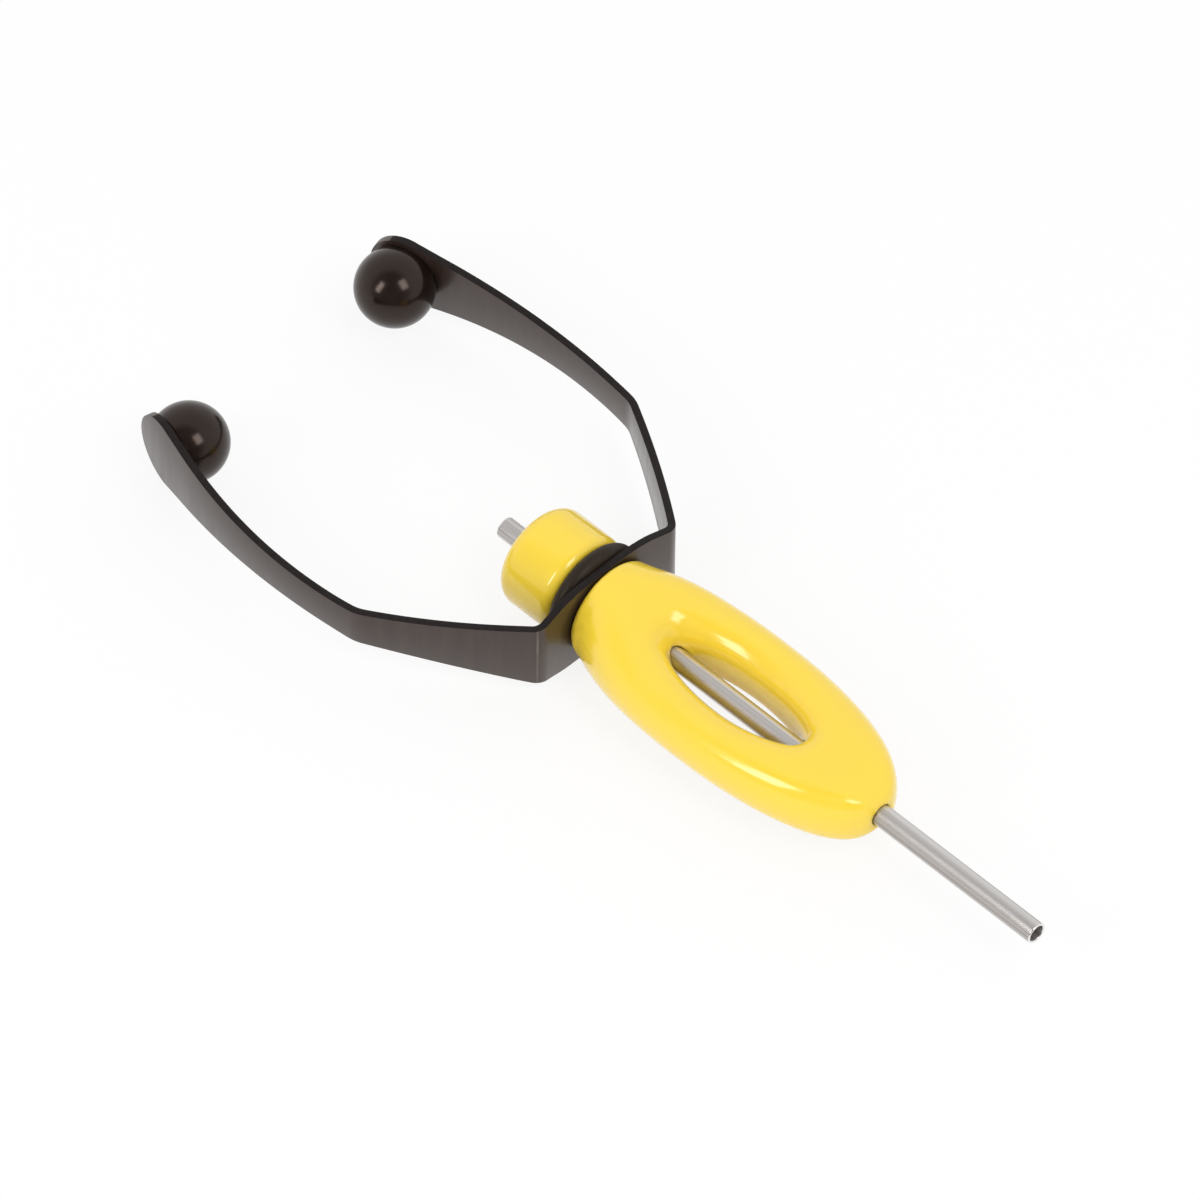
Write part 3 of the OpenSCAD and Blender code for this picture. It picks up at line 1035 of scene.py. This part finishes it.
@dataclass
class Studio:
    """The pale floor, the soft lamps and the camera at the photograph's angle."""

    azimuth: float = 44.28
    elevation: float = 50.0
    roll: float = 0.652
    px_per_mm: float = 8.884
    aim_px: Point = (6.3, 4.47)
    picture_px: float = 1200.0
    lens: float = 600.0
    sensor: float = 36.0
    clip_share: Point = (0.2, 4.0)
    floor_z: float = -6.85
    floor_size: float = 6.0
    floor_matte: Colour = (0.94, 0.94, 0.94)
    lamp_distance: float = 1.2
    lamps: tuple[Lamp, ...] = (
        Lamp("soft_box_left", toward=(-0.683, 0.020, 0.730), size=(0.26, 0.60), power=3.4),
        Lamp("soft_box_right", toward=(0.406, 0.142, 0.901), size=(0.42, 0.56), power=3.7),
        Lamp("front_fill", toward=(-0.08, 0.00, 0.997), size=(0.70, 0.70), power=2.2, mirrored=False),
        Lamp("low_fill", toward=(-0.35, -0.58, 0.736), size=(1.00, 0.40), power=1.8, mirrored=False),
    )
    room: Colour = (0.90, 0.90, 0.90)
    room_dark: Colour = (0.22, 0.21, 0.21)
    dark_toward: tuple[float, float, float] = (-0.20, -0.15, 0.968)
    dark_from: float = 0.42
    dark_full: float = 0.78
    seen_glow: float = 0.85
    mirrored_glow: float = 0.72

    def axes(self) -> tuple[Vector, Vector, Vector]:
        """Works out how the camera stands.

        Returns:
            The camera's right, up and back directions.
        """
        a, e, r = (math.radians(v) for v in (self.azimuth, self.elevation, self.roll))
        back = Vector((math.sin(a) * math.cos(e), -math.cos(a) * math.cos(e), math.sin(e)))
        flat = Vector((math.cos(a), math.sin(a), 0))
        tall = back.cross(flat)
        right = flat * math.cos(r) + tall * math.sin(r)
        up = tall * math.cos(r) - flat * math.sin(r)
        return right, up, back

    def direction(self, shares: Sequence[float]) -> Vector:
        """A direction in the frame, from shares of the camera's right, up and back directions."""
        right, up, back = self.axes()
        return right * shares[0] + up * shares[1] + back * shares[2]

    def camera(self) -> None:
        """Sets the camera on its line of sight, far off with a long lens."""
        right, up, back = self.axes()
        centre = (right * -self.aim_px[0] + up * self.aim_px[1]) * (MM / self.px_per_mm)
        data = bpy.data.cameras.new("camera")
        data.lens = self.lens
        data.sensor_width = self.sensor
        distance = self.picture_px / self.px_per_mm * MM * self.lens / self.sensor
        data.clip_start, data.clip_end = (distance * share for share in self.clip_share)
        camera = bpy.data.objects.new("camera", data)
        bpy.context.scene.collection.objects.link(camera)
        camera.location = centre + back * distance
        camera.rotation_mode = "QUATERNION"
        camera.rotation_quaternion = Matrix((right, up, back)).transposed().to_quaternion()
        bpy.context.scene.camera = camera

    def floor(self) -> None:
        """Lays a wide pale floor that keeps the object's shadow."""
        clear_selection()
        bpy.ops.mesh.primitive_plane_add(size=self.floor_size, location=(0, 0, self.floor_z * MM))
        floor = bpy.context.object
        floor.name = floor.data.name = "studio_floor"
        made = bpy.data.materials.new("studio_white")
        made.use_nodes = True
        nodes, links = made.node_tree.nodes, made.node_tree.links
        nodes.clear()
        out = nodes.new("ShaderNodeOutputMaterial")
        matte = nodes.new("ShaderNodeBsdfDiffuse")
        matte.inputs["Color"].default_value = (*self.floor_matte, 1)
        glow = nodes.new("ShaderNodeEmission")
        glow.inputs["Color"].default_value = (1, 1, 1, 1)
        glow.inputs["Strength"].default_value = 1.0
        path = nodes.new("ShaderNodeLightPath")
        seen = nodes.new("ShaderNodeMath")
        seen.operation = "MULTIPLY"
        seen.inputs[1].default_value = self.seen_glow
        mirrored = nodes.new("ShaderNodeMath")
        mirrored.operation = "MULTIPLY"
        mirrored.inputs[1].default_value = self.mirrored_glow
        either = nodes.new("ShaderNodeMath")
        either.operation = "MAXIMUM"
        mix = nodes.new("ShaderNodeMixShader")
        links.new(path.outputs["Is Camera Ray"], seen.inputs[0])
        links.new(path.outputs["Is Glossy Ray"], mirrored.inputs[0])
        links.new(seen.outputs["Value"], either.inputs[0])
        links.new(mirrored.outputs["Value"], either.inputs[1])
        links.new(either.outputs["Value"], mix.inputs["Fac"])
        links.new(matte.outputs["BSDF"], mix.inputs[1])
        links.new(glow.outputs["Emission"], mix.inputs[2])
        links.new(mix.outputs["Shader"], out.inputs["Surface"])
        floor.data.materials.append(made)

    def hang(self, lamp: Lamp) -> None:
        """Hangs a lamp that points at the object.

        Args:
            lamp: the lamp, its size in metres and its power in watts.
        """
        place = self.direction(lamp.toward).normalized() * self.lamp_distance
        data = bpy.data.lights.new(lamp.name, "AREA")
        data.shape = "RECTANGLE"
        data.size, data.size_y = lamp.size
        data.energy = lamp.power
        hung = bpy.data.objects.new(lamp.name, data)
        bpy.context.scene.collection.objects.link(hung)
        hung.location = place
        hung.rotation_mode = "QUATERNION"
        hung.rotation_quaternion = place.to_track_quat("Z", "Y")
        hung.visible_glossy = lamp.mirrored

    def room_light(self) -> None:
        """Lights the object from a pale room, which is darker round the camera."""
        world = bpy.data.worlds.new("studio_world")
        world.use_nodes = True
        nodes, links = world.node_tree.nodes, world.node_tree.links
        ground = nodes["Background"]
        ground.inputs["Strength"].default_value = 1.0
        place = nodes.new("ShaderNodeTexCoord")
        facing = nodes.new("ShaderNodeVectorMath")
        facing.operation = "DOT_PRODUCT"
        facing.inputs[1].default_value = self.direction(self.dark_toward)
        patch = nodes.new("ShaderNodeMapRange")
        patch.interpolation_type = "SMOOTHSTEP"
        patch.inputs["From Min"].default_value = self.dark_from
        patch.inputs["From Max"].default_value = self.dark_full
        tone = nodes.new("ShaderNodeMix")
        tone.data_type = "RGBA"
        tone.inputs["A"].default_value = (*self.room, 1)
        tone.inputs["B"].default_value = (*self.room_dark, 1)
        links.new(place.outputs["Generated"], facing.inputs[0])
        links.new(facing.outputs["Value"], patch.inputs["Value"])
        links.new(patch.outputs["Result"], tone.inputs["Factor"])
        links.new(tone.outputs["Result"], ground.inputs["Color"])
        bpy.context.scene.world = world

    def build(self) -> None:
        """Sets up camera, floor, lamps and room, and the plain view transform."""
        bpy.context.scene.view_settings.view_transform = "Standard"
        self.camera()
        self.floor()
        for lamp in self.lamps:
            self.hang(lamp)
        self.room_light()


def main() -> None:
    """Builds and dresses the pieces in order."""
    logging.basicConfig(level=logging.INFO, format="%(message)s")
    Studio().build()
    SolidFinishes().dress()
    Grip().build()
    ThreadTube().build()
    for side in Side:
        ForkStrip(side).build()
        Bead(side).build()
    Washer().build()
    Knob().build()


if __name__ == "__main__":
    main()
